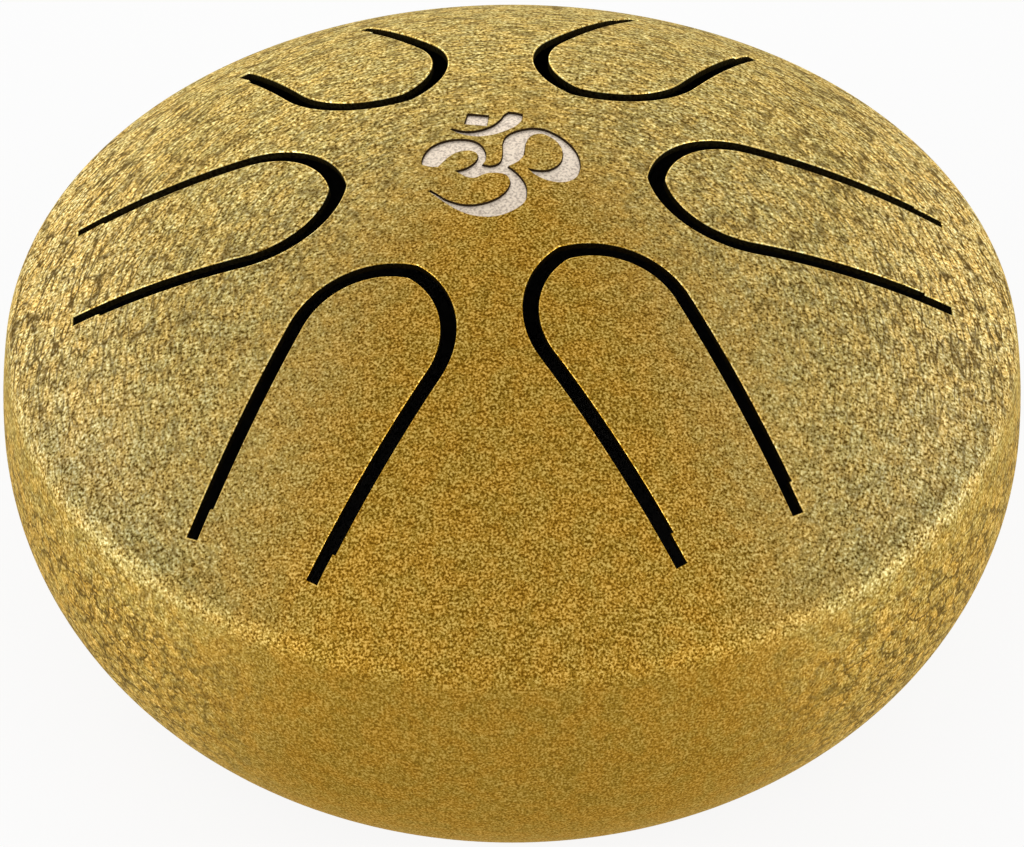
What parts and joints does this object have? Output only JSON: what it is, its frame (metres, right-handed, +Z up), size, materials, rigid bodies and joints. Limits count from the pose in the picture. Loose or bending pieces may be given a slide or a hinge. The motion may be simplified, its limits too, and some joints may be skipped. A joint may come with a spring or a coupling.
{
  "type": "steel tongue drum",
  "caption": "Small domed steel tongue drum: a closed, painted steel shell whose slotted tongues ring when struck, with a round sound hole in its base and rubber feet.",
  "frame": {"origin": "on the floor, under the middle of the drum", "axes": "+Z up, +X to the right and -Y towards the front as the picture shows the drum"},
  "size_m": [0.15, 0.15, 0.0795],
  "materials": {
    "gold_paint": "textured metallic gold paint with a fine wrinkled grain",
    "rubber": "matt black",
    "bare_steel": "bare metal where the paint is cut away"
  },
  "bodies": {
    "shell": {"top_shell": "gold_paint", "bottom_shell": "gold_paint", "foot_back": "rubber", "foot_front_left": "rubber", "foot_front_right": "rubber"},
    "front_left_tongue": {"tongue_front_left": "gold_paint"},
    "front_right_tongue": {"tongue_front_right": "gold_paint"},
    "right_tongue": {"tongue_right": "gold_paint"},
    "back_right_tongue": {"tongue_back_right": "gold_paint"},
    "back_left_tongue": {"tongue_back_left": "gold_paint"},
    "left_tongue": {"tongue_left": "gold_paint"}
  },
  "joints": [
    {"name": "front_left_flex", "type": "hinge", "parent": "shell", "child": "front_left_tongue", "pos_m": [-0.03615, -0.0553, 0.05775], "axis": [-0.8686, 0.4955, 0], "range_deg": [-0.5, 0.5], "stiffness_Nm_per_rad": 42},
    {"name": "front_right_flex", "type": "hinge", "parent": "shell", "child": "front_right_tongue", "pos_m": [0.03202, -0.05354, 0.06027], "axis": [-0.8508, -0.5255, 0], "range_deg": [-0.5, 0.5], "stiffness_Nm_per_rad": 40},
    {"name": "right_flex", "type": "hinge", "parent": "shell", "child": "right_tongue", "pos_m": [0.06353, 0.00474, 0.05939], "axis": [0.0262, -0.9997, 0], "range_deg": [-0.5, 0.5], "stiffness_Nm_per_rad": 44},
    {"name": "back_right_flex", "type": "hinge", "parent": "shell", "child": "back_right_tongue", "pos_m": [0.02729, 0.05615, 0.06024], "axis": [0.8695, -0.4939, 0], "range_deg": [-0.5, 0.5], "stiffness_Nm_per_rad": 52},
    {"name": "back_left_flex", "type": "hinge", "parent": "shell", "child": "back_left_tongue", "pos_m": [-0.03164, 0.05084, 0.06186], "axis": [0.8572, 0.515, 0], "range_deg": [-0.5, 0.5], "stiffness_Nm_per_rad": 60},
    {"name": "left_flex", "type": "hinge", "parent": "shell", "child": "left_tongue", "pos_m": [-0.06369, 0.00226, 0.05937], "axis": [-0.0122, 0.9999, 0], "range_deg": [-0.5, 0.5], "stiffness_Nm_per_rad": 49}
  ]
}
